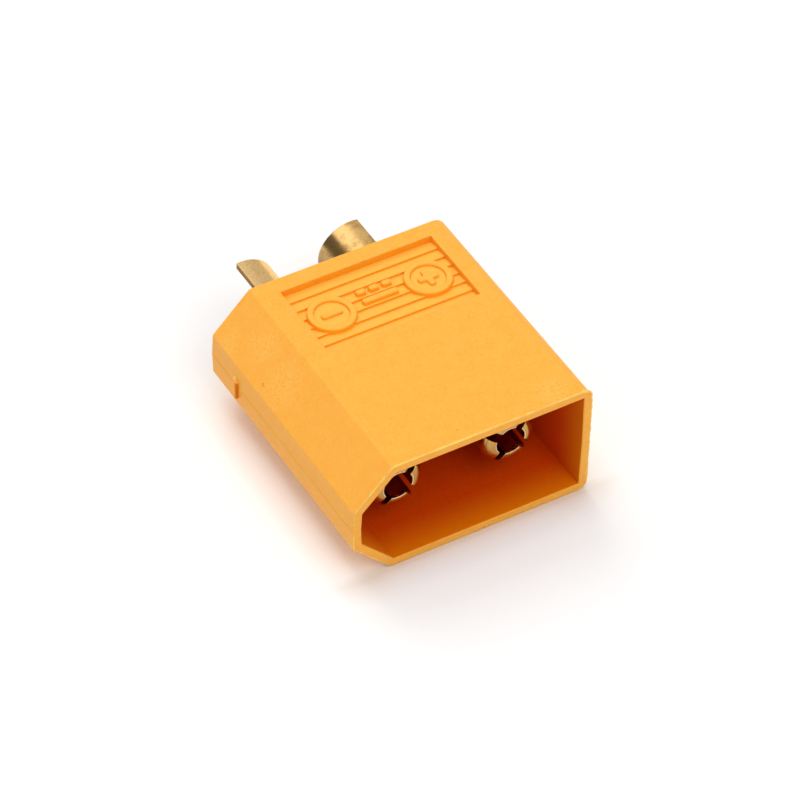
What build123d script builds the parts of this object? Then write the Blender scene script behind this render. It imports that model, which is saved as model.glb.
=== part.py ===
"""Two-pole power connector, pin half: a keyed nylon housing and two pressed-in brass contacts.

Millimetres. The part lies on its flat side. +X is the square side, where the positive contact
sits, -X the chamfered side, -Y the open mouth, +Y the solder cups and +Z up. The origin is at
the middle of the bounding box, on the underside.
"""
from build123d import *
import os

os.makedirs("parts", exist_ok=True)

# Housing, outside
housing_width = 15.85
housing_height = 8.1
housing_length = 16.9
chamfer_width = 2.48
chamfer_height = 2.6
square_corner_radius = 0.85
chamfer_corner_radius = 0.2
bottom_corner_radius = 0.5
side_draft = 0.06
rear_edge_radius = 0.18

# Shroud around the pins
shroud_depth = 8.7
shroud_wall = 0.57
outer_rim_break = 0.1
inner_rim_break = 0.04

# Sunk panels with sawtooth ribs
panel_rear_margin = 1.2
panel_length = 5.75
panel_left_margin = 1.45
panel_right_margin = 1.6
rib_treads = 7
rib_crest_depth = 0.33
rib_foot_depth = 0.48

# Gate stub left by the moulding
gate_from_rear = 3.2
gate_width = 0.4
gate_low = 3.1
gate_high = 4.5
gate_proud = 0.15
gate_radius = 0.18

# Contacts
contact_pitch = 7.5
pin_radius = 1.75
pin_setback = 2.05
nose_radius = 0.65
bulge_length = 2.0
shank_radius = 1.69
pin_bore_radius = 0.95
pin_bore_depth = 5.9
slot_width = 0.5
cross_slot_width = 0.6
slot_length = 5.2
positive_slot_turn = 11
negative_slot_turn = 4

# Solder cups
cup_radius = 2.2
cup_wall = 0.4
cup_reach = 4.0
cup_bore_depth = 5.2
cup_open_length = 3.4
cup_open_offset = 0.28
positive_cup_turn = 5
negative_cup_turn = 0
cup_mill_radius = 0.8
cup_seat_depth = 4.2
drill_point_ratio = 0.6
seat_lead = 0.15

# Retaining barb on each contact, and its bite in the housing
barb_height = 0.12
barb_length = 0.9
barb_from_rear = 1.6

# A cutter runs past the surface that it opens by this much
overcut = 1.0

# Derived places
overall_length = housing_length + cup_reach
mouth_y = -overall_length / 2
rear_y = mouth_y + housing_length
floor_y = mouth_y + shroud_depth
middle_z = housing_height / 2
half_width = housing_width / 2
drafted_half_width = half_width - side_draft
contact_x = contact_pitch / 2
tip_y = mouth_y + pin_setback
cup_end_y = rear_y + cup_reach
cup_shoulder_y = rear_y - cup_seat_depth
cup_bore_radius = cup_radius - cup_wall
slot_end_y = tip_y + slot_length
barb_y = rear_y - barb_from_rear
panel_rear_y = rear_y - panel_rear_margin
panel_front_y = panel_rear_y - panel_length
panel_left_x = -drafted_half_width + chamfer_width + panel_left_margin
panel_width = drafted_half_width - panel_right_margin - panel_left_x


def plane_at(y):
    """A plane across the connector at y, with X to the right, Z up and its normal towards the mouth."""
    return Plane.XZ.offset(-y)


def keyed_section(y, wall=0.0):
    """The housing's cross section at y. Its drafted sides meet in a parting line at mid height. With a
    wall, it is the section of the cavity inside that wall."""
    chamfer_end_x = -drafted_half_width + chamfer_width
    with BuildSketch(plane_at(y)) as section:
        with BuildLine():
            Polyline(
                (chamfer_end_x, housing_height),
                (drafted_half_width, housing_height),
                (half_width, middle_z),
                (drafted_half_width, 0),
                (chamfer_end_x, 0),
                (-drafted_half_width, chamfer_height),
                (-half_width, middle_z),
                (-drafted_half_width, housing_height - chamfer_height),
                close=True,
            )
        make_face()
        if wall:
            offset(amount=-wall, kind=Kind.INTERSECTION)
        else:
            fillet(section.vertices().group_by(Axis.X)[-2], radius=square_corner_radius)
            left_columns = section.vertices().group_by(Axis.X)[1:3]
            bottom_corner = left_columns[1].sort_by(Axis.Y)[0]
            other_corners = left_columns[0] + left_columns[1].sort_by(Axis.Y)[1:]
            fillet(other_corners, radius=chamfer_corner_radius)
            fillet(bottom_corner, radius=bottom_corner_radius)
    return section.sketch


def panel_profile(face_z, inward):
    """Side view of one sunk panel, whose treads each fall away from their crest towards the rear.
    face_z is the face that it is sunk into, and inward is -1 on the top and +1 on the underside."""
    tread = panel_length / rib_treads
    points = [(panel_front_y, face_z - inward * overcut)]
    for step in range(rib_treads):
        points.append((panel_front_y + step * tread, face_z + inward * rib_crest_depth))
        points.append((panel_front_y + (step + 1) * tread, face_z + inward * rib_foot_depth))
    points.append((panel_rear_y, face_z - inward * overcut))
    with BuildSketch(Plane.YZ.offset(panel_left_x)) as profile:
        with BuildLine():
            Polyline(*points, close=True)
        make_face()
    return profile.sketch


def contact_axis(side):
    """The turning axis of one contact. side is 1 for the contact at +X and -1 for the one at -X."""
    return Axis((side * contact_x, 0, middle_z), (0, 1, 0))


def contact_plane(side):
    """The level plane through a contact's axis. Its X runs outward from the axis and its Y to the rear."""
    return Plane((side * contact_x, 0, middle_z), x_dir=(side, 0, 0), z_dir=(0, 0, side))


def contact_outline(side):
    """Half of a contact's turned outline beside its axis, from the pin's nose to the cup's end."""
    with BuildSketch(contact_plane(side)) as outline:
        with BuildLine():
            Line((0, tip_y), (pin_radius - nose_radius, tip_y))
            CenterArc((pin_radius - nose_radius, tip_y + nose_radius), nose_radius, -90, 90)
            Polyline(
                (pin_radius, tip_y + nose_radius),
                (pin_radius, tip_y + nose_radius + bulge_length),
                (shank_radius, slot_end_y),
                (shank_radius, cup_shoulder_y),
                (cup_radius, cup_shoulder_y),
                (cup_radius, barb_y - barb_length),
                (cup_radius + barb_height, barb_y),
                (cup_radius, barb_y),
                (cup_radius, cup_end_y),
                (0, cup_end_y),
                (0, tip_y),
            )
        make_face()
    return outline.sketch


def drilled_hole(side, mouth, bottom, radius):
    """Half outline of a hole drilled along a contact's axis, with the drill's cone at its bottom."""
    outward = 1 if mouth > bottom else -1
    with BuildSketch(contact_plane(side)) as hole:
        with BuildLine():
            Polyline(
                (0, mouth + outward * overcut),
                (radius, mouth + outward * overcut),
                (radius, bottom),
                (0, bottom - outward * drill_point_ratio * radius),
                close=True,
            )
        make_face()
    return hole.sketch


# The housing: a solid rear block and a thin shroud, with a seat through both for each contact
with BuildPart() as housing:
    extrude(keyed_section(rear_y), amount=housing_length)
    fillet(housing.faces().sort_by(Axis.Y)[-1].edges(), radius=rear_edge_radius)
    extrude(keyed_section(floor_y, shroud_wall), amount=shroud_depth + overcut, mode=Mode.SUBTRACT)
    rim = housing.faces().sort_by(Axis.Y)[0]
    chamfer(rim.outer_wire().edges(), length=outer_rim_break)
    rim = housing.faces().sort_by(Axis.Y)[0]
    chamfer(rim.inner_wires()[0].edges(), length=inner_rim_break)
    for face_z, inward in ((housing_height, -1), (0, 1)):
        extrude(panel_profile(face_z, inward), amount=panel_width, mode=Mode.SUBTRACT)
    for side in (1, -1):
        revolve(contact_outline(side), axis=contact_axis(side), mode=Mode.SUBTRACT)
    seat_edges = housing.faces().sort_by(Axis.Y)[-1].edges().filter_by(GeomType.CIRCLE)
    chamfer(seat_edges.sort_by(SortBy.RADIUS)[-2:], length=seat_lead)
    with BuildSketch(Plane.YZ.offset(-half_width - gate_proud)):
        with Locations((rear_y - gate_from_rear, (gate_low + gate_high) / 2)):
            RectangleRounded(gate_width, gate_high - gate_low, gate_radius)
    extrude(amount=gate_proud + side_draft)
housing.part.label = "housing"
export_step(housing.part, "parts/housing.step")

# The contacts: one turned piece each, with a slotted pin and a cup cut open on its outer side
for name, side, slot_turn, cup_turn in (
    ("positive_contact", 1, positive_slot_turn, positive_cup_turn),
    ("negative_contact", -1, negative_slot_turn, negative_cup_turn),
):
    with BuildPart() as contact:
        revolve(contact_outline(side), axis=contact_axis(side))
        pin_bore = drilled_hole(side, tip_y, tip_y + pin_bore_depth, pin_bore_radius)
        revolve(pin_bore, axis=contact_axis(side), mode=Mode.SUBTRACT)
        cup_bore = drilled_hole(side, cup_end_y, cup_end_y - cup_bore_depth, cup_bore_radius)
        revolve(cup_bore, axis=contact_axis(side), mode=Mode.SUBTRACT)
        with BuildSketch(plane_at(slot_end_y)):
            with Locations((side * contact_x, middle_z)):
                for width, corner_angle in ((cross_slot_width, 45), (slot_width, 135)):
                    Rectangle(width, 2 * pin_radius + overcut, rotation=corner_angle + slot_turn)
        extrude(amount=slot_length + overcut, mode=Mode.SUBTRACT)
        with BuildSketch(contact_plane(side).rotated((0, cup_turn, 0))) as cup_opening:
            with BuildLine():
                Polyline(
                    (cup_open_offset, cup_end_y - cup_open_length),
                    (cup_open_offset, cup_end_y + overcut),
                    (cup_radius + overcut, cup_end_y + overcut),
                    (cup_radius + overcut, cup_end_y - cup_open_length),
                    close=True,
                )
            make_face()
            inner_corner = cup_opening.vertices().group_by(Axis.Y)[0].sort_by(Axis.X)[0]
            fillet(inner_corner, radius=cup_mill_radius)
        extrude(amount=cup_radius + overcut, both=True, mode=Mode.SUBTRACT)
    contact.part.label = name
    export_step(contact.part, f"parts/{name}.step")
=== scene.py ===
"""Looks of a two-pole power connector: moulded nylon housing, gold-flashed contacts and a white table.

Metres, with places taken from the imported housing. +X is the square side, -Y the open mouth, +Z up.
"""
import bpy
import bmesh
import math
from mathutils import Matrix, Vector, noise


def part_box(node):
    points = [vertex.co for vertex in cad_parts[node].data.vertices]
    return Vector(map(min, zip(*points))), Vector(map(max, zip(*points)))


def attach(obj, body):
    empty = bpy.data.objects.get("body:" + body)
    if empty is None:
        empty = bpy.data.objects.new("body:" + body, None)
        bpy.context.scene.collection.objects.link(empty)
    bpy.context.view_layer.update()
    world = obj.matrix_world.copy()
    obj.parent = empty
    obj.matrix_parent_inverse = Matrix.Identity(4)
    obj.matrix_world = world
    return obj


bl_info = {
    "name": "Power Connector Looks",
    "version": (1, 0, 0),
    "blender": (4, 5, 0),
    "location": "3D View > Sidebar > Connector",
    "description": "Dresses the packed connector in moulded nylon and worn gold, on a white table",
    "category": "Object",
}

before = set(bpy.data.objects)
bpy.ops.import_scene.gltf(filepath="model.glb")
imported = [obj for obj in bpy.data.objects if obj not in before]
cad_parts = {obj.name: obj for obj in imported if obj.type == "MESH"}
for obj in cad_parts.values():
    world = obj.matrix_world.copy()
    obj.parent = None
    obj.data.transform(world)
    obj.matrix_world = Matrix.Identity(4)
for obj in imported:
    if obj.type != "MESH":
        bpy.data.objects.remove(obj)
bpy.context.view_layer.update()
HOUSING = "housing"
CONTACTS = ("positive_contact", "negative_contact")
ROOT = "root"
housing_low, housing_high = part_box(HOUSING)
MM = 0.001

# Sizes and places of the housing and its contacts
MOUTH_Y = housing_low.y
REAR_Y = housing_high.y
HALF_WIDTH = housing_high.x
HALF_HEIGHT = (housing_high.z - housing_low.z) / 2
MIDDLE_Z = (housing_low.z + housing_high.z) / 2
SIDE_DRAFT = 0.06 * MM
CHAMFER_WIDTH = 2.48 * MM
CHAMFER_HEIGHT = 2.6 * MM
WALL = 0.57 * MM
SHROUD_FLOOR_Y = MOUTH_Y + 8.7 * MM
CONTACT_X = 3.75 * MM
PIN_TIP_Y = MOUTH_Y + 2.05 * MM
PIN_BORE_RADIUS = 0.95 * MM
CUP_RADIUS = 2.2 * MM
GATE_Y = REAR_Y - 3.2 * MM
PANEL_CENTRE = (1.165 * MM, 2.375 * MM)

# Where masks by place are cut off
PANEL_REACH = (5.15 * MM, 2.925 * MM)
SLOT_REACH = 1.6 * MM
BORE_REACH = PIN_BORE_RADIUS + 0.03 * MM
BORE_EDGE_REACH = PIN_BORE_RADIUS + 0.06 * MM
BORE_EDGE_Y = PIN_TIP_Y + 0.18 * MM
CUPS_START_Y = REAR_Y - 1.2 * MM

# Where masks by place fade in, each as its start and the place where it is full
SPOT_FADE = (1.0, 0.35)
RIM_FADE = (MOUTH_Y + 0.04 * MM, MOUTH_Y + 0.07 * MM)
DEPTH_FADE = (MOUTH_Y + 0.05 * MM, SHROUD_FLOOR_Y)
WALL_FADE = (0.0, -WALL / 4)
PANEL_FADE = (HALF_HEIGHT - 0.04 * MM, HALF_HEIGHT - 0.20 * MM)
UPRIGHT_FADE = (0.8, 0.4)
INSIDE_FADE = (PIN_TIP_Y + 0.12 * MM, PIN_TIP_Y + 0.35 * MM)
NOSE_FADE = (PIN_TIP_Y + 0.6 * MM, PIN_TIP_Y + 0.25 * MM)
CUT_FADE = (CUP_RADIUS - 0.01 * MM, CUP_RADIUS - 0.05 * MM)
GATE_SHADE_FADE = (-HALF_WIDTH, -HALF_WIDTH - 0.02 * MM)
IN_FRONT_FADE = (MOUTH_Y + 0.5 * MM, MOUTH_Y - 0.2 * MM)


def length(name, description, millimetres):
    """A property for a length, given in millimetres and held in metres."""
    return bpy.props.FloatProperty(
        name=name, description=description, default=millimetres * MM, unit="LENGTH", precision=5
    )


def tilt(name, description, degrees):
    """A property for an angle, given in degrees and held in radians."""
    return bpy.props.FloatProperty(
        name=name, description=description, default=math.radians(degrees), subtype="ANGLE"
    )


def anchor(name, description, place):
    """A property for a point in metres."""
    return bpy.props.FloatVectorProperty(
        name=name, description=description, default=place, size=len(place), subtype="TRANSLATION",
        precision=5,
    )


def share(name, description, default):
    """A property for a share from 0 to 1."""
    return bpy.props.FloatProperty(
        name=name, description=description, default=default, min=0.0, max=1.0, subtype="FACTOR"
    )


def colour(name, description, default):
    """A property for a linear colour."""
    return bpy.props.FloatVectorProperty(
        name=name, description=description, default=default, size=3, min=0.0, max=1.0, subtype="COLOR"
    )


class NylonSettings(bpy.types.PropertyGroup):
    """The moulded nylon of the housing."""

    body: colour("Body", "The nylon", (0.995, 0.432, 0.056))
    pale: colour("Pale", "Where the nylon is scuffed or catches more light", (1.0, 0.515, 0.106))
    deep: colour("Deep mottle", "The darker flow marks", (0.99, 0.392, 0.042))
    # Painted shade: the nylon inside the shroud is darker and redder towards its floor.
    shroud_painted_shade: colour("Cavity", "Deep inside the shroud, which lights itself", (0.74, 0.069, 0.0003))
    # Partly painted highlight: the flash is thin nylon, made paler than the body so that the bead and the
    # gate's lump read as lit edges.
    flash: colour("Flash", "Thin flash at the mouth", (1.0, 0.66, 0.14))
    # Painted light and shade in the sunk panels: sunk lightens their floors as painted bounce light, and
    # riser gives their upright faces a deeper orange as painted shade.
    sunk: colour("Sunk", "The sunk panels, which light each other", (1.0, 0.490, 0.074))
    riser_painted_shade: colour("Riser", "The upright faces in the sunk panels", (1.0, 0.40, 0.013))
    # Painted shade too: brim is the lighter shade just inside the mouth, and glow is the lighter grain in
    # the shade deeper in.
    brim_painted_shade: colour("Brim", "Just inside the mouth of the shroud", (0.80, 0.205, 0.0005))
    glow: colour("Glow", "The brighter grain inside the shroud", (0.84, 0.098, 0.0006))
    # Painted shade: torn darkens a strip on the gate stub's front flank.
    torn: colour("Torn", "The torn face of the gate", (0.70, 0.19, 0.004))
    speck: colour("Speck", "The dark specks", (0.50, 0.15, 0.015))
    grain_size: length("Grain", "Size of the fine grain", 0.13)
    grain_depth: length("Grain depth", "Height of the fine grain", 0.01)
    mottle_size: length("Mottle", "Size of the cloudy flow marks", 0.8)
    flash_mottle_size: length("Flash mottle", "Size of the patches in the flash", 0.6)
    speck_spacing: length("Speck spacing", "Typical distance between dark specks", 3.4)
    speck_size: length("Speck size", "Radius of the largest scattered specks", 0.06)
    edge_radius: length("Edge radius", "Rounding of the moulded edges", 0.07)
    roughness: share("Roughness", "Roughness of the moulded surface", 0.44)
    glow_depth: length("Glow depth", "How far light travels in the nylon", 0.2)


class ContactSettings(bpy.types.PropertyGroup):
    """The gold-flashed brass contacts."""

    gold: colour("Gold flash", "The clean flash", (0.88, 0.55, 0.20))
    brass: colour("Worn brass", "Where the flash is rubbed and tarnished", (0.56, 0.32, 0.10))
    rubbed: colour("Rubbed pin", "The pins' sides, rubbed by the socket", (0.58, 0.33, 0.10))
    nose: colour("Nose", "The pins' noses, dulled by the socket", (0.62, 0.38, 0.105))
    # Painted highlight: bore_edge_painted_highlight paints a pale gold ring round the front of the pins'
    # bores.
    bore_edge_painted_highlight: colour("Bore edge", "The polished edge of the pins' bores", (1.0, 0.82, 0.50))
    cut: colour("Cut face", "The cups' milled faces and bores", (0.24, 0.125, 0.040))
    grime: colour("Grime", "The dirt along the cups' edges", (0.14, 0.075, 0.03))
    # Painted highlight: clean lightens the negative cup's upper side.
    clean: colour("Clean", "The cleaner gold of the negative cup", (1.0, 0.67, 0.30))
    # Painted reflection: patina is a darker grey gold on the positive cup's inner side, in place of a dim
    # reflection.
    painted_dark_reflection: colour("Patina", "The greyer side of the positive cup", (0.30, 0.215, 0.115))
    # Painted reflection and shade: bore gives the metal in the pins' bores a dark red, as if mirroring the
    # red inside of the shroud.
    bore_painted_reflection: colour("Bore", "The unflashed bores of the pins", (0.62, 0.07, 0.02))
    # Painted shade: slot makes the pins' sawn slots nearly black.
    slot: colour("Slot", "The sawn slots of the pins", (0.10, 0.011, 0.002))
    turning_pitch: length("Turning pitch", "Distance between the marks of the lathe tool", 0.5655)
    turning_depth: length("Turning depth", "Height of the marks of the lathe tool", 0.006)
    wear_size: length("Wear size", "Size of the worn patches", 0.9)
    grain_size: length("Grain", "Size of the fine grain in wear and dirt", 0.12)
    edge_radius: length("Edge radius", "Rounding of the machined edges", 0.05)
    cup_roughness: share("Cup roughness", "Roughness of the solder cups", 0.18)
    pin_roughness: share("Pin roughness", "Roughness of the pins", 0.13)


class StageSettings(bpy.types.PropertyGroup):
    """Camera, lamps and table."""

    azimuth: tilt("Azimuth", "Camera's bearing round the connector", -31.183)
    elevation: tilt("Elevation", "Camera's height above the table", 44.286)
    roll: tilt("Roll", "Camera's tilt about its own axis", 1.620)
    distance: length("Distance", "From the camera to the point that it looks at", 257.27)
    focal_length: bpy.props.FloatProperty(
        name="Focal length", description="Of the lens, in millimetres", default=196.05, unit="CAMERA"
    )
    aim: anchor("Aim", "The point that the camera looks at", (0.990 * MM, -0.474 * MM, 1.864 * MM))
    table: colour("Table", "The table", (0.94, 0.935, 0.93))
    # Painted shade: contact is a warm darker tint on the table in front of the mouth, where ambient
    # occlusion finds the connector close.
    contact: colour("Contact", "The table close to the mouth, warmed by the nylon", (0.62, 0.50, 0.38))
    painted_shade_reach: length("Contact reach", "How far the warm shade reaches from the connector", 3.0)


class MarkSettings(bpy.types.PropertyGroup):
    """The raised polarity marks in the sunk panel."""

    centre: anchor("Centre", "Middle of the three marks, on the panel", PANEL_CENTRE)
    pitch: length("Pitch", "Distance between the marks' middles", 3.25)
    ring: length("Ring", "Outer diameter of the ring round each pole's sign", 2.9)
    sign: length("Sign", "Length of the strokes inside a ring", 1.3)
    reach: length("Reach", "Length of the direct current sign", 2.3)
    stroke: length("Stroke", "Width of a stroke at its top", 0.36)
    draft: length("Draft", "How much wider a stroke is at its foot, each side", 0.07)
    sunk: length("Sunk", "How far the marks' tops stay below the housing's top", 0.12)
    row: length("Row", "Distance between the rows of the direct current sign", 0.82)
    floor: length("Floor", "Depth of the smooth floor inside a ring", 0.30)
    foot: length("Foot", "Depth of the marks' feet, just below the treads", 0.52)
    corner: length("Corner", "Rounding of the strokes' corners", 0.13)


class BeadSettings(bpy.types.PropertyGroup):
    """The wavy bead of flash along the mouth's outer edge."""

    thickness: length("Thickness", "Radius of the bead where it is full", 0.15)
    spread: length("Spread", "How far the full bead reaches back from the mouth", 0.30)
    step: length("Step", "Distance between the bead's sections", 0.11)
    lump_length: length("Lump length", "Typical length of a lump in the bead", 0.42)


class PartingSettings(bpy.types.PropertyGroup):
    """The thin flash where the two halves of the mould met, and the torn gate on it."""

    height: length("Height", "How far the flash stands proud", 0.045)
    width: length("Width", "Width of the flash at its foot", 0.13)
    step: length("Step", "Distance between the flash's sections", 0.2)
    tear_width: length("Tear width", "Half the width of the torn lump on the gate stub", 0.2)
    tear_shift: length("Tear shift", "How far the torn lump sits behind the middle of the stub", 0.18)


def add_node(tree, kind, inputs=None, **settings):
    """Adds a shader node, sets its fields, and sets or links its inputs by name or number."""
    node = tree.nodes.new("ShaderNode" + kind)
    for field, value in settings.items():
        setattr(node, field, value)
    for socket, value in (inputs or {}).items():
        if isinstance(value, bpy.types.NodeSocket):
            tree.links.new(value, node.inputs[socket])
        else:
            node.inputs[socket].default_value = value
    return node


def calculate(tree, operation, first, second=0.0, clamp=False):
    """The output of one math node."""
    node = add_node(tree, "Math", {0: first, 1: second}, operation=operation, use_clamp=clamp)
    return node.outputs[0]


def multiply(tree, first, second):
    """The product of two values, such as a mask and its strength."""
    return calculate(tree, "MULTIPLY", first, second)


def largest(tree, first, *others):
    """The largest of several values, such as one mask out of several."""
    for other in others:
        first = calculate(tree, "MAXIMUM", first, other)
    return first


def away_from(tree, value, middle):
    """How far a value is from a middle, either way."""
    return calculate(tree, "ABSOLUTE", calculate(tree, "SUBTRACT", value, middle))


def remap(tree, value, low, high, out_low=0.0, out_high=1.0):
    """Takes a value from one range to another, held to the second."""
    inputs = {"Value": value, "From Min": low, "From Max": high, "To Min": out_low, "To Max": out_high}
    return add_node(tree, "MapRange", inputs).outputs["Result"]


def broken_up(tree, mask, grain, low, high, least=0.0):
    """A mask broken up by grain between a low and a high value of it, down to a least share."""
    return multiply(tree, mask, remap(tree, grain, low, high, least))


def split(tree, vector):
    """A vector's X, Y and Z."""
    return add_node(tree, "SeparateXYZ", {0: vector}).outputs


def vector_value(tree, operation, first, second):
    """The plain value that a vector math node gives."""
    node = add_node(tree, "VectorMath", {0: first, 1: second}, operation=operation)
    return node.outputs["Value"]


def blend_colours(tree, factor, first, second):
    """The output of one colour mix. A colour is a socket or three numbers."""
    node = add_node(tree, "Mix", data_type="RGBA", clamp_factor=True)
    sockets = {socket.identifier: socket for socket in node.inputs}
    tree.links.new(factor, sockets["Factor_Float"])
    for name, value in (("A_Color", first), ("B_Color", second)):
        if isinstance(value, bpy.types.NodeSocket):
            tree.links.new(value, sockets[name])
        else:
            sockets[name].default_value = (*value, 1.0)
    return next(socket for socket in node.outputs if socket.identifier == "Result_Color")


def layer_colours(tree, base, layers):
    """A base colour with other colours laid over it in turn, each given after its mask."""
    for mask, over in layers:
        base = blend_colours(tree, mask, base, over)
    return base


def bumped(tree, height, strength, depth, normal=None):
    """The normal of a bump of that height, on top of another normal where one is given."""
    node = add_node(tree, "Bump", {"Strength": strength, "Distance": depth, "Height": height})
    if normal is not None:
        tree.links.new(normal, node.inputs["Normal"])
    return node.outputs["Normal"]


# Names of the groups' sockets that hold a vector. The others hold one value
VECTORS = ("Position", "Centre", "Normal")


def new_group(name, inputs, outputs):
    """An empty shader group with named sockets. Returns the tree, its input sockets and its output node."""
    tree = bpy.data.node_groups.new(name, "ShaderNodeTree")
    for in_out, sockets in (("INPUT", inputs), ("OUTPUT", outputs)):
        for socket in sockets:
            kind = "NodeSocketVector" if socket in VECTORS else "NodeSocketFloat"
            tree.interface.new_socket(name=socket, in_out=in_out, socket_type=kind)
    given = tree.nodes.new("NodeGroupInput").outputs
    return tree, given, tree.nodes.new("NodeGroupOutput")


def finish_group(tree, result, **values):
    """Links values to a group's outputs by name, and returns the group."""
    for socket, value in values.items():
        tree.links.new(value, result.inputs[socket])
    return tree


def clouds_group(name):
    """Soft clouds and fine grain at two sizes given in metres."""
    tree, given, result = new_group(name, ("Position", "Cloud Size", "Grain Size"), ("Clouds", "Grain"))
    noises = {}
    for output, size, detail, roughness in (
        ("Clouds", "Cloud Size", 4.0, 0.55),
        ("Grain", "Grain Size", 3.0, 0.6),
    ):
        scale = calculate(tree, "DIVIDE", 1.0, given[size])
        inputs = {"Vector": given["Position"], "Scale": scale, "Detail": detail, "Roughness": roughness}
        noises[output] = add_node(tree, "TexNoise", inputs).outputs["Fac"]
    return finish_group(tree, result, **noises)


def edges_group(name):
    """Finds edges: a normal that rounds them off, and a mask that is 1 along them."""
    tree, given, result = new_group(name, ("Radius", "Gain"), ("Mask", "Normal"))
    rounded = add_node(tree, "Bevel", {"Radius": given["Radius"]}, samples=4).outputs["Normal"]
    flat = add_node(tree, "NewGeometry").outputs["Normal"]
    turned = calculate(tree, "SUBTRACT", 1.0, vector_value(tree, "DOT_PRODUCT", rounded, flat))
    mask = calculate(tree, "MULTIPLY", turned, given["Gain"], clamp=True)
    return finish_group(tree, result, Mask=mask, Normal=rounded)


def specks_group(name):
    """Small scattered specks. Spacing and Size are in metres, and Share is how many cells hold one."""
    tree, given, result = new_group(name, ("Position", "Spacing", "Size", "Share"), ("Mask",))
    scale = calculate(tree, "DIVIDE", 1.0, given["Spacing"])
    cells = add_node(tree, "TexVoronoi", {"Vector": given["Position"], "Scale": scale})
    drawn = add_node(tree, "SeparateColor", {"Color": cells.outputs["Color"]})
    chosen = calculate(tree, "LESS_THAN", drawn.outputs["Red"], given["Share"])
    largest = calculate(tree, "DIVIDE", given["Size"], given["Spacing"])
    radius = multiply(tree, largest, drawn.outputs["Green"])
    inside = calculate(tree, "LESS_THAN", cells.outputs["Distance"], radius)
    return finish_group(tree, result, Mask=multiply(tree, inside, chosen))


def spot_group(name):
    """One round spot: full inside a third of its radius, fading to 0 at its radius in metres."""
    tree, given, result = new_group(name, ("Position", "Centre", "Radius"), ("Mask",))
    away = vector_value(tree, "DISTANCE", given["Position"], given["Centre"])
    share_out = calculate(tree, "DIVIDE", away, given["Radius"])
    return finish_group(tree, result, Mask=remap(tree, share_out, *SPOT_FADE))


def shroud_group(name):
    """Finds the shroud's inside. Within is 1 on its inner walls, and Depth grows from mouth to floor."""
    tree, given, result = new_group(name, ("Position",), ("Within", "Depth"))
    across, along, up = split(tree, given["Position"])
    off_middle = away_from(tree, up, MIDDLE_Z)
    slant = math.hypot(CHAMFER_WIDTH, CHAMFER_HEIGHT)
    lean_x, lean_z = -CHAMFER_HEIGHT / slant, CHAMFER_WIDTH / slant
    chamfer_x = -HALF_WIDTH + SIDE_DRAFT + CHAMFER_WIDTH
    chamfer_reach = lean_x * chamfer_x + lean_z * HALF_HEIGHT
    leaning = calculate(tree, "ADD", multiply(tree, across, lean_x), multiply(tree, off_middle, lean_z))
    limits = (
        (calculate(tree, "ABSOLUTE", across), HALF_WIDTH - WALL / 2),
        (off_middle, HALF_HEIGHT - WALL / 2),
        (leaning, chamfer_reach - WALL / 2),
        (along, SHROUD_FLOOR_Y + WALL / 2),
    )
    beyond = largest(tree, *[calculate(tree, "SUBTRACT", value, limit) for value, limit in limits])
    within = multiply(tree, remap(tree, beyond, *WALL_FADE), remap(tree, along, *RIM_FADE))
    depth = multiply(tree, within, remap(tree, along, *DEPTH_FADE))
    return finish_group(tree, result, Within=within, Depth=depth)


def panel_group(name):
    """Finds the sunk panels on both sides. Mask is 1 inside them, and Upright is 1 on upright faces."""
    tree, given, result = new_group(name, ("Position",), ("Mask", "Upright"))
    across, along, up = split(tree, given["Position"])
    mask = remap(tree, away_from(tree, up, MIDDLE_Z), *PANEL_FADE)
    for value, centre, reach in zip((across, along), PANEL_CENTRE, PANEL_REACH):
        mask = multiply(tree, mask, calculate(tree, "LESS_THAN", away_from(tree, value, centre), reach))
    normal = add_node(tree, "NewGeometry").outputs["Normal"]
    level = calculate(tree, "ABSOLUTE", split(tree, normal)["Z"])
    return finish_group(tree, result, Mask=mask, Upright=remap(tree, level, *UPRIGHT_FADE))


def off_axis(tree, across, up):
    """Distance from the nearer contact's axis."""
    aside = calculate(tree, "SUBTRACT", calculate(tree, "ABSOLUTE", across), CONTACT_X)
    above = calculate(tree, "SUBTRACT", up, MIDDLE_Z)
    squares = calculate(tree, "ADD", multiply(tree, aside, aside), multiply(tree, above, above))
    return calculate(tree, "SQRT", squares)


def bore_group(name):
    """Finds the pins' insides. Mask is 1 within Radius of their axes, and Edge is 1 on the bores' edges."""
    tree, given, result = new_group(name, ("Position", "Radius"), ("Mask", "Edge"))
    across, along, up = split(tree, given["Position"])
    away = off_axis(tree, across, up)
    near = calculate(tree, "LESS_THAN", away, given["Radius"])
    behind = remap(tree, along, *INSIDE_FADE)
    ahead = calculate(tree, "LESS_THAN", along, SHROUD_FLOOR_Y)
    mask = multiply(tree, multiply(tree, near, behind), ahead)
    close = calculate(tree, "LESS_THAN", away, BORE_EDGE_REACH)
    first = calculate(tree, "LESS_THAN", along, BORE_EDGE_Y)
    return finish_group(tree, result, Mask=mask, Edge=multiply(tree, close, first))


def cup_group(name):
    """Finds the cups' bores and milled faces: 1 within the wall of either cup."""
    tree, given, result = new_group(name, ("Position",), ("Mask",))
    across, along, up = split(tree, given["Position"])
    near = remap(tree, off_axis(tree, across, up), *CUT_FADE)
    behind = calculate(tree, "GREATER_THAN", along, CUPS_START_Y)
    return finish_group(tree, result, Mask=multiply(tree, near, behind))


GROUPS = {
    "Clouds and Grain": clouds_group,
    "Rounded Edges": edges_group,
    "Specks": specks_group,
    "Spot": spot_group,
    "Inside the Shroud": shroud_group,
    "Inside the Panels": panel_group,
    "Inside the Pins": bore_group,
    "Inside the Cups": cup_group,
}


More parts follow.
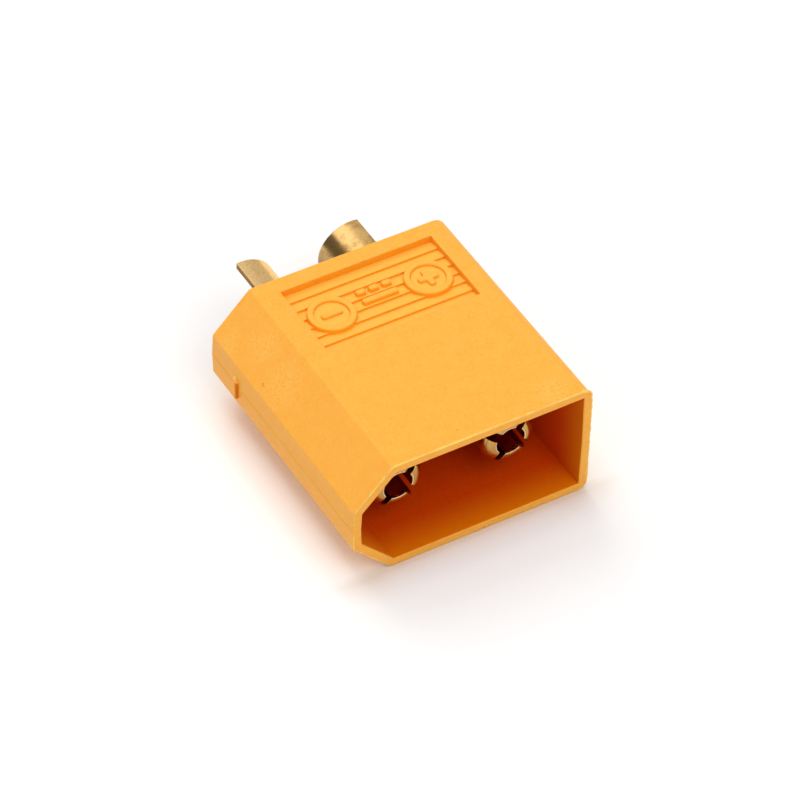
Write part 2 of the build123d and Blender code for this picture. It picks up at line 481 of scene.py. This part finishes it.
def use_group(tree, name, inputs):
    """Places a shared group in a tree, built on its first use, and returns its outputs."""
    group = bpy.data.node_groups.get(name) or GROUPS[name](name)
    return add_node(tree, "Group", inputs, node_tree=group).outputs


def clouds_and_grain(tree, position, cloud_size, grain_size):
    """Soft clouds and fine grain, as two outputs."""
    inputs = {"Position": position, "Cloud Size": cloud_size, "Grain Size": grain_size}
    return use_group(tree, "Clouds and Grain", inputs).values()


def new_material(name):
    """A material with an empty tree. Returns it, its tree and the object's own coordinates."""
    material = bpy.data.materials.new(name)
    material.use_nodes = True
    material.node_tree.nodes.clear()
    position = add_node(material.node_tree, "TexCoord").outputs["Object"]
    return material, material.node_tree, position


def finish_material(material, shader):
    """Joins a shader node to the material's output, and returns the material."""
    add_node(material.node_tree, "OutputMaterial", {"Surface": shader.outputs[0]})
    return material


# Marks on the housing, each as its place and its radius in millimetres
DARK_SPECKS = (
    ((-0.71, -9.61, 8.10), 0.07),
    ((1.69, 5.23, 8.10), 0.09),
    ((-7.46, 0.95, 5.93), 0.08),
    ((-7.50, 0.84, 5.88), 0.07),
    ((0.88, -10.45, 0.17), 0.08),
)
SCUFFS = (
    ((5.6, -9.4, 8.1), 1.3),
    ((-6.4, 2.7, 7.1), 1.5),
    ((-6.9, -0.3, 6.5), 1.8),
    ((-7.6, 4.9, 5.8), 1.1),
)

# A painted darker reflection on the side of the positive cup that faces the other cup, in the same way
PAINTED_REFLECTION_SPOT = ((1.5, 9.6, 3.4), 2.4)
# A painted highlight on the upper side of the negative cup, in the same way
PAINTED_HIGHLIGHT_SPOT = ((-4.2, 9.0, 6.0), 4.5)

# Strengths of the nylon's effects
PALE_GRAIN_SHARE = 0.75
SCUFF_STRENGTH = 0.9
SPECK_STRENGTH = 0.75
SPECK_SHARE = 0.3
BRIM_DEPTH = 0.28
DEEP_ROUGHNESS = 0.45
GRAIN_BUMP = 0.3
EDGE_GAIN = 3.0
PLASTIC_IOR = 1.5

# How much rougher the gold is where it is worn and in the bores, and the strength of its bump
WORN_ROUGHNESS = 0.14
BORE_ROUGHNESS = 0.2
TURNING_BUMP = 0.25

# Middle of the painted shade on the gate stub, a darker strip over its front flank and beside it, and half
# its size with a soft edge
GATE_SHADE_Y = GATE_Y - 0.13 * MM
GATE_SHADE_Z = MIDDLE_Z - 0.28 * MM
GATE_SHADE_HALF_Y = (0.15 * MM, 0.11 * MM)
GATE_SHADE_HALF_Z = (0.68 * MM, 0.56 * MM)

# Blender's wave texture turns by this many radians over each unit of its scaled place
WAVE_RATE = 20.0

# The table's own glow as the camera sees it
TABLE_GLOW = 0.045


def spot(tree, position, centre, radius):
    """A mask over one round spot, given in millimetres."""
    inputs = {"Position": position, "Centre": [value * MM for value in centre], "Radius": radius * MM}
    return use_group(tree, "Spot", inputs)["Mask"]


def spots(tree, position, places):
    """One mask over several spots."""
    return largest(tree, *[spot(tree, position, centre, radius) for centre, radius in places])


def gate_painted_shade(tree, position):
    """A mask over the painted shade on the gate stub's front flank."""
    across, along, up = split(tree, position)
    within_y = remap(tree, away_from(tree, along, GATE_SHADE_Y), *GATE_SHADE_HALF_Y)
    within_z = remap(tree, away_from(tree, up, GATE_SHADE_Z), *GATE_SHADE_HALF_Z)
    return multiply(tree, multiply(tree, within_y, within_z), remap(tree, across, *GATE_SHADE_FADE))


def moulded_nylon(settings, name="moulded_nylon", glow=0.25):
    """Matte nylon with fine grain, flow marks, scuffs and specks, with painted shade inside the shroud, on
    the panels' upright faces and on the gate stub, and painted bounce light on the panel floors.
    """
    material, tree, position = new_material(name)
    clouds, grain = clouds_and_grain(tree, position, settings.mottle_size, settings.grain_size)
    edges = use_group(tree, "Rounded Edges", {"Radius": settings.edge_radius, "Gain": EDGE_GAIN})
    spread = {"Spacing": settings.speck_spacing, "Size": settings.speck_size, "Share": SPECK_SHARE}
    specks = use_group(tree, "Specks", {"Position": position, **spread})
    shroud = use_group(tree, "Inside the Shroud", {"Position": position})
    panels = use_group(tree, "Inside the Panels", {"Position": position})
    flow = remap(tree, clouds, 0.35, 0.7)
    fine = remap(tree, grain, 0.35, 0.75, 0.0, PALE_GRAIN_SHARE)
    scuff = multiply(tree, spots(tree, position, SCUFFS), SCUFF_STRENGTH)
    scuff = broken_up(tree, scuff, grain, low=0.42, high=0.62)
    tear = gate_painted_shade(tree, position)
    dark = largest(tree, specks["Mask"], spots(tree, position, DARK_SPECKS))
    # Painted shade inside the shroud: lighter just inside the mouth, darker and redder deeper in.
    brim_painted_shade = remap(tree, shroud["Depth"], 0.0, BRIM_DEPTH)
    # Painted bounce light on the panel floors, painted shade on their upright faces.
    panel = blend_colours(tree, panels["Upright"], settings.sunk, settings.riser_painted_shade)
    shroud_painted_shade = blend_colours(tree, fine, settings.shroud_painted_shade, settings.glow)
    shroud_painted_shade = blend_colours(tree, brim_painted_shade, settings.brim_painted_shade, shroud_painted_shade)
    layers = (
        (flow, settings.deep),
        (fine, settings.pale),
        (panels["Mask"], panel),
        (scuff, settings.pale),
        (tear, settings.torn),
        (multiply(tree, dark, SPECK_STRENGTH), settings.speck),
        (shroud["Within"], shroud_painted_shade),
    )
    rough = remap(tree, grain, 0.3, 0.7, settings.roughness - 0.05, settings.roughness + 0.08)
    matte = multiply(tree, largest(tree, tear, shroud["Within"]), DEEP_ROUGHNESS)
    look = {
        "Base Color": layer_colours(tree, settings.body, layers),
        "Roughness": calculate(tree, "ADD", rough, matte, clamp=True),
        "IOR": PLASTIC_IOR,
        "Specular IOR Level": 0.12,
        "Subsurface Weight": glow,
        "Subsurface Radius": (1.0, 0.5, 0.2),
        "Subsurface Scale": settings.glow_depth,
        "Normal": bumped(tree, grain, GRAIN_BUMP, settings.grain_depth, edges["Normal"]),
    }
    return finish_material(material, add_node(tree, "BsdfPrincipled", look))


def thin_flash_painted_highlight(settings):
    """The pale flash of the mouth's bead and of the torn gate, paler than the body partly as a painted
    highlight.
    """
    material, tree, position = new_material("thin_flash_painted_highlight")
    clouds, grain = clouds_and_grain(tree, position, settings.flash_mottle_size, settings.grain_size)
    thick = remap(tree, clouds, 0.4, 0.62)
    look = {
        "Base Color": blend_colours(tree, thick, settings.flash, settings.pale),
        "Roughness": remap(tree, grain, 0.3, 0.7, 0.28, 0.42),
        "IOR": PLASTIC_IOR,
        "Specular IOR Level": 0.25,
        "Normal": bumped(tree, grain, GRAIN_BUMP, settings.grain_depth),
    }
    return finish_material(material, add_node(tree, "BsdfPrincipled", look))


def flashed_gold(settings):
    """Turned brass under a thin gold flash, rubbed and tarnished in patches, and bare inside the pins."""
    material, tree, position = new_material("flashed_gold")
    clouds, grain = clouds_and_grain(tree, position, settings.wear_size, settings.grain_size)
    edges = use_group(tree, "Rounded Edges", {"Radius": settings.edge_radius, "Gain": EDGE_GAIN})
    inside = use_group(tree, "Inside the Pins", {"Position": position, "Radius": SLOT_REACH})
    bores = use_group(tree, "Inside the Pins", {"Position": position, "Radius": BORE_REACH})
    cut = use_group(tree, "Inside the Cups", {"Position": position})["Mask"]
    place = split(tree, position)
    pin = calculate(tree, "LESS_THAN", place["Y"], 0.0)
    negative = calculate(tree, "LESS_THAN", place["X"], 0.0)
    worn = remap(tree, clouds, 0.45, 0.62)
    worn = broken_up(tree, worn, grain, low=0.3, high=0.6, least=0.5)
    # Painted highlight over the negative cup's upper side, broken up by grain.
    clean = spot(tree, position, *PAINTED_HIGHLIGHT_SPOT)
    clean = broken_up(tree, clean, grain, low=0.35, high=0.6, least=0.35)
    dirt = broken_up(tree, multiply(tree, cut, negative), grain, low=0.4, high=0.6, least=0.25)
    grime = multiply(tree, edges["Mask"], calculate(tree, "SUBTRACT", 1.0, pin))
    grime = broken_up(tree, grime, grain, low=0.4, high=0.55)
    nose = remap(tree, place["Y"], *NOSE_FADE)
    nose = broken_up(tree, nose, grain, low=0.35, high=0.6, least=0.7)
    layers = (
        (pin, settings.rubbed),
        (worn, settings.brass),
        # Painted darker reflection on the positive cup's inner side.
        (spot(tree, position, *PAINTED_REFLECTION_SPOT), settings.painted_dark_reflection),
        (clean, settings.clean),
        (cut, settings.cut),
        (dirt, settings.grime),
        (grime, settings.grime),
        (nose, settings.nose),
        # Painted shade in the pins' slots.
        (inside["Mask"], settings.slot),
        # Painted red reflection and shade in the pins' bores.
        (bores["Mask"], settings.bore_painted_reflection),
        # Painted highlight on the front edge of the pins' bores.
        (inside["Edge"], settings.bore_edge_painted_highlight),
    )
    scale = math.tau / (WAVE_RATE * settings.turning_pitch)
    inputs = {"Vector": position, "Scale": scale, "Distortion": 0.6, "Detail": 2.0}
    tool_marks = add_node(tree, "TexWave", inputs, wave_type="BANDS", bands_direction="Y").outputs["Fac"]
    relief = calculate(tree, "ADD", multiply(tree, tool_marks, 0.6), grain)
    rough = remap(tree, pin, 0.0, 1.0, settings.cup_roughness, settings.pin_roughness)
    for mask, rougher in ((worn, WORN_ROUGHNESS), (inside["Mask"], BORE_ROUGHNESS)):
        rough = calculate(tree, "ADD", rough, multiply(tree, mask, rougher))
    look = {
        "Base Color": layer_colours(tree, settings.gold, layers),
        "Metallic": 1.0,
        "Roughness": rough,
        "Specular Tint": (1.0, 0.85, 0.6, 1.0),
        "Normal": bumped(tree, relief, TURNING_BUMP, settings.turning_depth, edges["Normal"]),
    }
    return finish_material(material, add_node(tree, "BsdfPrincipled", look))


def white_table(settings):
    """A pale table that the camera sees as white, with the connector's shadow on it and a painted warm
    contact shade in front of the mouth.
    """
    material, tree, position = new_material("white_table")
    # Painted contact shade: ambient occlusion darkens and warms the table in front of the mouth.
    near = add_node(tree, "AmbientOcclusion", {"Distance": settings.painted_shade_reach}, samples=8)
    in_front = remap(tree, split(tree, position)["Y"], *IN_FRONT_FADE)
    contact_shade_mask = multiply(tree, remap(tree, near.outputs["AO"], 1.0, 0.5), in_front)
    tint = blend_colours(tree, contact_shade_mask, settings.table, settings.contact)
    surface = add_node(tree, "BsdfDiffuse", {"Color": tint})
    glow = add_node(tree, "Emission", {"Strength": TABLE_GLOW})
    unlit = add_node(tree, "Emission", {"Strength": 0.0})
    rays = add_node(tree, "LightPath").outputs
    seen = largest(tree, rays["Is Camera Ray"], rays["Is Glossy Ray"], rays["Is Transmission Ray"])
    lift = add_node(tree, "MixShader", {0: seen, 1: unlit.outputs[0], 2: glow.outputs[0]})
    both = add_node(tree, "AddShader", {0: surface.outputs[0], 1: lift.outputs[0]})
    return finish_material(material, both)


def raised_nylon(scene):
    """The nylon of raised pieces, which are too thin to glow from inside. It is built on its first use."""
    ready = bpy.data.materials.get("raised_nylon")
    return ready or moulded_nylon(scene.connector_nylon, "raised_nylon", glow=0.0)


def flash_nylon(scene):
    """The nylon of the mouth's bead and of the torn gate, paler partly as a painted highlight, built on its
    first use.
    """
    return bpy.data.materials.get("thin_flash_painted_highlight") or thin_flash_painted_highlight(scene.connector_nylon)


# Rounded corners and rings
CORNER_STEPS = 4
RING_STEPS = 64
STROKE_SOFTNESS = 0.06 * MM


def loft(bm, rings, closed=False):
    """Joins rings of equal count. Open runs get a cap at each end."""
    loops = [[bm.verts.new(point) for point in ring] for ring in rings]
    count = len(loops[0])
    pairs = list(zip(loops, loops[1:]))
    if closed:
        pairs.append((loops[-1], loops[0]))
    for first, second in pairs:
        for i in range(count):
            j = (i + 1) % count
            bm.faces.new((first[i], first[j], second[j], second[i]))
    if not closed:
        bm.faces.new(loops[0][::-1])
        bm.faces.new(loops[-1])


def add_piece(name, bm, material, smooth=True):
    """Makes a piece of the housing from a bmesh: fixed to it and in a nylon."""
    bmesh.ops.recalc_face_normals(bm, faces=bm.faces)
    mesh = bpy.data.meshes.new(name)
    bm.to_mesh(mesh)
    bm.free()
    for polygon in mesh.polygons:
        polygon.use_smooth = smooth
    piece = bpy.data.objects.new(name, mesh)
    bpy.context.scene.collection.objects.link(piece)
    mesh.materials.append(material)
    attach(piece, ROOT)


def corner_sides(corners, i):
    """One corner of an outline, with the directions to the corner before it and to the one after it."""
    here = Vector(corners[i])
    back = Vector(corners[i - 1]) - here
    ahead = Vector(corners[(i + 1) % len(corners)]) - here
    return here, back.normalized(), ahead.normalized()


def bend(here, back, ahead, radius, steps):
    """Points round a corner, from a radius before it to a radius after it."""
    start, end = here + back * radius, here + ahead * radius
    shares = [step / steps for step in range(steps + 1)]
    return [start * (1 - t) ** 2 + here * (2 * t * (1 - t)) + end * t**2 for t in shares]


def rounded_outline(corners, radius):
    """A closed outline whose corners are rounded, as a list of points."""
    outline = []
    for i in range(len(corners)):
        here, back, ahead = corner_sides(corners, i)
        outline += bend(here, back, ahead, radius, CORNER_STEPS)
    return outline


def outward_at(outline, i):
    """The direction out of a counter-clockwise outline at one of its points."""
    along = (outline[(i + 1) % len(outline)] - outline[i - 1]).normalized()
    return Vector((along.y, -along.x))


def grown(outline, amount):
    """A counter-clockwise outline moved outward by an amount."""
    return [point + outward_at(outline, i) * amount for i, point in enumerate(outline)]


def stroke_levels(settings):
    """Heights up a raised stroke, each with how far the stroke is grown there: drafted and soft on top."""
    top, foot = housing_high.z - settings.sunk, housing_high.z - settings.foot
    soft, softer = STROKE_SOFTNESS, 0.3 * STROKE_SOFTNESS
    return ((foot, settings.draft), (top - soft, softer), (top - softer, -softer), (top, -soft))


def raised_stroke(bm, corners, settings):
    """A raised stroke with rounded corners, standing on the panel."""
    outline = rounded_outline(corners, settings.corner)
    loft(bm, [[(p.x, p.y, z) for p in grown(outline, out)] for z, out in stroke_levels(settings)])


def circle(x, y, radius, z):
    """Points of a level circle."""
    angles = [math.tau * step / RING_STEPS for step in range(RING_STEPS)]
    return [(x + radius * math.cos(angle), y + radius * math.sin(angle), z) for angle in angles]


def raised_ring(bm, x, y, settings):
    """A raised ring that stands on the panel, with a smooth floor inside it."""
    outer = settings.ring / 2
    inner = outer - settings.stroke
    levels = stroke_levels(settings)
    profile = [(outer + out, z) for z, out in levels] + [(inner - out, z) for z, out in reversed(levels)]
    loft(bm, [circle(x, y, radius, z) for radius, z in profile], closed=True)
    reach = inner + settings.stroke / 4
    loft(bm, [circle(x, y, reach, housing_high.z - depth) for depth in (settings.foot, settings.floor)])


def bar_corners(x, y, long_half, wide_half):
    """Corners of a rectangle about a point."""
    return [
        (x - long_half, y - wide_half), (x + long_half, y - wide_half),
        (x + long_half, y + wide_half), (x - long_half, y + wide_half),
    ]


def plus_corners(x, y, reach, half):
    """Corners of a plus sign: those of its lowest arm, and the same turned by one to three quarters."""
    arm = [(-half, -reach), (half, -reach), (half, -half)]
    corners = []
    for _ in range(4):
        corners += [(x + across, y + along) for across, along in arm]
        arm = [(-along, across) for across, along in arm]
    return corners


def dress(node_name, material):
    """Gives a frame node its material."""
    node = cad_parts[node_name]
    node.data.materials.clear()
    node.data.materials.append(material)


class CONNECTOR_OT_housing(bpy.types.Operator):
    """Dresses the housing in moulded nylon"""

    bl_idname = "connector.housing"
    bl_label = "Housing"

    def execute(self, context):
        dress(HOUSING, moulded_nylon(context.scene.connector_nylon))
        return {"FINISHED"}


class CONNECTOR_OT_contacts(bpy.types.Operator):
    """Dresses both contacts in worn gold flash"""

    bl_idname = "connector.contacts"
    bl_label = "Contacts"

    def execute(self, context):
        material = flashed_gold(context.scene.connector_contacts)
        for name in CONTACTS:
            dress(name, material)
        return {"FINISHED"}


class CONNECTOR_OT_marks(bpy.types.Operator):
    """Adds the raised polarity marks: minus, direct current and plus"""

    bl_idname = "connector.marks"
    bl_label = "Polarity marks"

    def execute(self, context):
        settings = context.scene.connector_marks
        x, y = settings.centre
        half_sign, half_reach, half_stroke = settings.sign / 2, settings.reach / 2, settings.stroke / 2
        minus_x, plus_x = x - settings.pitch, x + settings.pitch
        half_dash = settings.reach / 8
        direct_current = [bar_corners(x, y, half_reach, half_stroke)]
        for side in (-1, 0, 1):
            dash_x = x + side * (half_reach - half_dash)
            direct_current.append(bar_corners(dash_x, y + settings.row, half_dash, half_stroke))
        material = raised_nylon(context.scene)
        for name, strokes, ring_x in (
            ("minus_mark", [bar_corners(minus_x, y, half_sign, half_stroke)], minus_x),
            ("direct_current_mark", direct_current, None),
            ("plus_mark", [plus_corners(plus_x, y, half_sign, half_stroke)], plus_x),
        ):
            bm = bmesh.new()
            for corners in strokes:
                raised_stroke(bm, corners, settings)
            if ring_x is not None:
                raised_ring(bm, ring_x, y, settings)
            add_piece(name, bm, material, smooth=False)
        return {"FINISHED"}


# Rounding of the mouth's corners, in the order of mouth_outline
MOUTH_CORNER_RADII = (0.4 * MM, 0.8 * MM, 0.8 * MM, 0.12 * MM, 0.12 * MM, 0.12 * MM)

# The bead's fullness: its least, and how far lumps and the ripples on them swell it
LEAST_FULLNESS = 0.3
LUMP_GAIN = 1.5
RIPPLE_BASE = 0.55
RIPPLE_GAIN = 0.9
THINNING = 0.2
RIPPLES_PER_LUMP = 3.1
RIPPLE_START = Vector((7.0, 0.0, 0.0))
BEAD_SIDES = 8


def mouth_outline(spacing):
    """Points along the mouth's outer edge, as seen from the front."""
    left, low, high = -HALF_WIDTH + SIDE_DRAFT, housing_low.z, housing_high.z
    corners = [
        (left + CHAMFER_WIDTH, low),
        (HALF_WIDTH, low),
        (HALF_WIDTH, high),
        (left + CHAMFER_WIDTH, high),
        (left, high - CHAMFER_HEIGHT),
        (left, low + CHAMFER_HEIGHT),
    ]
    points = []
    for i, radius in enumerate(MOUTH_CORNER_RADII):
        here, back, ahead = corner_sides(corners, i)
        points += bend(here, back, ahead, radius, max(3, round(1.5 * radius / spacing)))
        following = (i + 1) % len(corners)
        start, end = points[-1], Vector(corners[following]) - ahead * MOUTH_CORNER_RADII[following]
        steps = max(2, round((end - start).length / spacing))
        points += [start.lerp(end, step / steps) for step in range(1, steps)]
    return points


def bead_fullness(place):
    """How full the bead is at a place, from its lumps and the ripples on them."""
    lump = 0.5 + 0.5 * noise.noise(place)
    ripple = 0.5 + 0.5 * noise.noise(place * RIPPLES_PER_LUMP + RIPPLE_START)
    swell = LUMP_GAIN * lump * (RIPPLE_BASE + RIPPLE_GAIN * ripple) - THINNING
    return min(1.0, max(LEAST_FULLNESS, swell))


class CONNECTOR_OT_bead(bpy.types.Operator):
    """Adds the wavy bead of flash along the mouth's outer edge"""

    bl_idname = "connector.bead"
    bl_label = "Mouth bead"

    def execute(self, context):
        settings = context.scene.connector_bead
        points = mouth_outline(settings.step)
        rings = []
        for i, point in enumerate(points):
            outward = outward_at(points, i)
            fullness = bead_fullness(Vector((point.x, 0.0, point.y)) / settings.lump_length)
            radius = settings.thickness * fullness
            reach = settings.spread * fullness
            ring = []
            for step in range(BEAD_SIDES):
                angle = step * math.tau / BEAD_SIDES
                away = point + outward * (radius * (math.cos(angle) - 1.0))
                y = MOUTH_Y + reach * (0.5 - 0.5 * math.sin(angle))
                ring.append((away.x, y, away.y))
            rings.append(ring)
        bm = bmesh.new()
        loft(bm, rings, closed=True)
        add_piece("mouth_bead", bm, flash_nylon(context.scene))
        return {"FINISHED"}


def side_ridge(proud, half, sunk, shoulder, shoulder_half):
    """A ridge's section on the chamfered side, as pairs of an X and a shift along that side. The shoulder
    is a share of how proud the ridge is, and shoulder_half is a share of its half width."""
    foot_x, shoulder_x, top_x = -HALF_WIDTH + sunk, -HALF_WIDTH - shoulder * proud, -HALF_WIDTH - proud
    inner = shoulder_half * half
    return (foot_x, -half), (shoulder_x, -inner), (top_x, 0.0), (shoulder_x, inner), (foot_x, half)


# Where the parting flash starts and ends, and how it wavers in height and place
PARTING_START_Y = MOUTH_Y + 0.12 * MM
PARTING_END_Y = REAR_Y - 0.2 * MM
PARTING_WOBBLE_LENGTH = 0.8 * MM
PARTING_DRIFT = 0.015 * MM
PARTING_DRIFT_LENGTH = 1.5 * MM

# The torn lump on the gate stub: its ends, its height at its fullest and the length of its waves
TEAR_LOW_Z = MIDDLE_Z + 0.12 * MM
TEAR_HIGH_Z = MIDDLE_Z + 0.62 * MM
TEAR_PROUD = 0.14 * MM
TEAR_WAVE_LENGTH = 0.25 * MM
TEAR_STEPS = 8


class CONNECTOR_OT_parting(bpy.types.Operator):
    """Adds the parting line's flash along the chamfered side"""

    bl_idname = "connector.parting"
    bl_label = "Parting flash"

    def execute(self, context):
        settings = context.scene.connector_parting
        run = PARTING_END_Y - PARTING_START_Y
        count = round(run / settings.step)
        rings = []
        for i in range(count + 1):
            y = PARTING_START_Y + run * i / count
            wobble = noise.noise(Vector((0.0, y / PARTING_WOBBLE_LENGTH, 3.0)))
            drift = noise.noise(Vector((5.0, y / PARTING_DRIFT_LENGTH, 0.0)))
            z = MIDDLE_Z + PARTING_DRIFT * drift
            height = settings.height * (0.75 + 0.4 * wobble)
            half = settings.width / 2
            section = side_ridge(height, half, sunk=0.04 * MM, shoulder=0.6, shoulder_half=0.5)
            rings.append([(x, y, z + shift) for x, shift in section])
        bm = bmesh.new()
        loft(bm, rings)
        add_piece("parting_flash", bm, raised_nylon(context.scene))
        return {"FINISHED"}


class CONNECTOR_OT_gate_tear(bpy.types.Operator):
    """Adds the torn lump of nylon at the top of the gate stub"""

    bl_idname = "connector.gate_tear"
    bl_label = "Gate tear"

    def execute(self, context):
        settings = context.scene.connector_parting
        middle_y = GATE_Y + settings.tear_shift
        rings = []
        for i in range(TEAR_STEPS + 1):
            z = TEAR_LOW_Z + (TEAR_HIGH_Z - TEAR_LOW_Z) * i / TEAR_STEPS
            fullness = math.sin(math.pi * (0.12 + 0.76 * i / TEAR_STEPS))
            ragged = noise.noise(Vector((9.0, 0.0, z / TEAR_WAVE_LENGTH)))
            proud = TEAR_PROUD * fullness * (0.95 + 0.1 * ragged)
            half = settings.tear_width * fullness * (0.9 + 0.4 * ragged)
            section = side_ridge(proud, half, sunk=0.05 * MM, shoulder=0.7, shoulder_half=0.8)
            rings.append([(x, middle_y + shift, z) for x, shift in section])
        bm = bmesh.new()
        loft(bm, rings)
        add_piece("gate_tear", bm, flash_nylon(context.scene))
        return {"FINISHED"}


# Each soft box as its name, its place and its power
SOFT_BOXES = (
    ("soft_box_above", (0.0, 0.0, 0.50), 0.67),
    ("soft_box_behind", (0.0, 0.32, 0.38), 0.74),
    ("soft_box_left", (-0.32, 0.0, 0.38), 0.17),
    ("soft_box_front", (0.0, -0.32, 0.38), 0.66),
)
SOFT_BOX_SIZE = 0.30
WORLD_LIGHT = 0.43
TABLE_HALF = 1.0

# How bright metal sees the horizon on the left and on the right, and the ceiling
HORIZON_LEFT = 0.13
HORIZON_RIGHT = 0.62
CEILING = 0.75

# Where and how bright metal sees the paler reflector behind the connector
REFLECTOR_DIRECTION = (-0.20, 0.64, 0.742)
REFLECTOR_LIGHT = 0.6

# Where and how bright the rims of the pins see the soft box in front of the connector
FRONT_DIRECTION = (0.369, -0.679, 0.635)
FRONT_LIGHT = 1.8


def add_camera(settings):
    """The camera, from its bearing round the point that it looks at."""
    azimuth, elevation = settings.azimuth, settings.elevation
    level = math.cos(elevation)
    back = Vector((math.sin(azimuth) * level, -math.cos(azimuth) * level, math.sin(elevation)))
    right = Vector((math.cos(azimuth), math.sin(azimuth), 0.0))
    axes = Matrix((right, back.cross(right), back)).transposed()
    rolled = axes @ Matrix.Rotation(settings.roll, 3, "Z")
    data = bpy.data.cameras.new("camera")
    data.lens = settings.focal_length
    data.clip_start = settings.distance / 100
    camera = bpy.data.objects.new("camera", data)
    place = Vector(settings.aim) + back * settings.distance
    camera.matrix_world = Matrix.Translation(place) @ rolled.to_4x4()
    bpy.context.scene.collection.objects.link(camera)
    bpy.context.scene.camera = camera


def add_lamp(name, place, power):
    """A square soft box that faces the connector. Metal sees the studio of the world in its stead."""
    data = bpy.data.lights.new(name, "AREA")
    data.size = SOFT_BOX_SIZE
    data.energy = power
    lamp = bpy.data.objects.new(name, data)
    lamp.visible_glossy = False
    lamp.location = place
    lamp.rotation_euler = (-Vector(place)).to_track_quat("-Z", "Y").to_euler()
    bpy.context.scene.collection.objects.link(lamp)


def add_table(settings):
    """The table's top, under the connector."""
    corners = bar_corners(0.0, 0.0, TABLE_HALF, TABLE_HALF)
    mesh = bpy.data.meshes.new("table")
    mesh.from_pydata([(x, y, housing_low.z) for x, y in corners], [], [(0, 1, 2, 3)])
    table = bpy.data.objects.new("table", mesh)
    mesh.materials.append(white_table(settings))
    bpy.context.scene.collection.objects.link(table)


def add_world():
    """A plain studio. The camera sees white. Metal sees it bright above and darker towards the horizon."""
    world = bpy.data.worlds.new("surroundings")
    world.use_nodes = True
    tree = world.node_tree
    tree.nodes.clear()
    direction = add_node(tree, "TexCoord").outputs["Generated"]
    place = split(tree, direction)
    overhead = remap(tree, place["Z"], 0.54, 0.61)
    horizon = remap(tree, place["X"], -0.35, 0.35, HORIZON_LEFT, HORIZON_RIGHT)
    low = multiply(tree, calculate(tree, "SUBTRACT", 1.0, overhead), horizon)
    towards_reflector = vector_value(tree, "DOT_PRODUCT", direction, REFLECTOR_DIRECTION)
    reflector = multiply(tree, remap(tree, towards_reflector, 0.88, 0.985, 0.0, REFLECTOR_LIGHT), overhead)
    towards_front = vector_value(tree, "DOT_PRODUCT", direction, FRONT_DIRECTION)
    front = remap(tree, towards_front, 0.90, 0.97, 0.0, FRONT_LIGHT)
    studio = multiply(tree, overhead, CEILING)
    for light in (low, reflector, front):
        studio = calculate(tree, "ADD", studio, light)
    rays = add_node(tree, "LightPath").outputs
    mirrored = multiply(tree, rays["Is Glossy Ray"], studio)
    spread = multiply(tree, rays["Is Diffuse Ray"], WORLD_LIGHT)
    strength = largest(tree, rays["Is Camera Ray"], rays["Is Transmission Ray"], mirrored, spread)
    glow = add_node(tree, "Background", {"Color": (1.0, 1.0, 1.0, 1.0), "Strength": strength})
    add_node(tree, "OutputWorld", {"Surface": glow.outputs[0]})
    bpy.context.scene.world = world


class CONNECTOR_OT_stage(bpy.types.Operator):
    """Adds the table, the lamps and the camera"""

    bl_idname = "connector.stage"
    bl_label = "Stage"

    def execute(self, context):
        settings = context.scene.connector_stage
        add_table(settings)
        add_world()
        for name, place, power in SOFT_BOXES:
            add_lamp(name, place, power)
        add_camera(settings)
        context.scene.view_settings.view_transform = "Standard"
        return {"FINISHED"}


OPERATORS = (
    CONNECTOR_OT_housing,
    CONNECTOR_OT_contacts,
    CONNECTOR_OT_marks,
    CONNECTOR_OT_bead,
    CONNECTOR_OT_parting,
    CONNECTOR_OT_gate_tear,
    CONNECTOR_OT_stage,
)


class CONNECTOR_PT_sidebar(bpy.types.Panel):
    """Lists the steps that dress the connector"""

    bl_label = "Connector"
    bl_space_type = "VIEW_3D"
    bl_region_type = "UI"
    bl_category = "Connector"

    def draw(self, context):
        for operator in OPERATORS:
            self.layout.operator(operator.bl_idname)


SETTINGS = {
    "connector_nylon": NylonSettings,
    "connector_contacts": ContactSettings,
    "connector_marks": MarkSettings,
    "connector_bead": BeadSettings,
    "connector_parting": PartingSettings,
    "connector_stage": StageSettings,
}


def register():
    for group in SETTINGS.values():
        bpy.utils.register_class(group)
    for operator in OPERATORS:
        bpy.utils.register_class(operator)
    bpy.utils.register_class(CONNECTOR_PT_sidebar)
    for name, group in SETTINGS.items():
        setattr(bpy.types.Scene, name, bpy.props.PointerProperty(type=group))


def unregister():
    for name in SETTINGS:
        delattr(bpy.types.Scene, name)
    bpy.utils.unregister_class(CONNECTOR_PT_sidebar)
    for operator in reversed(OPERATORS):
        bpy.utils.unregister_class(operator)
    for group in reversed(SETTINGS.values()):
        bpy.utils.unregister_class(group)


def main():
    register()
    bpy.ops.connector.housing()
    bpy.ops.connector.contacts()
    bpy.ops.connector.marks()
    bpy.ops.connector.bead()
    bpy.ops.connector.parting()
    bpy.ops.connector.gate_tear()
    bpy.ops.connector.stage()


if __name__ == "__main__":
    main()
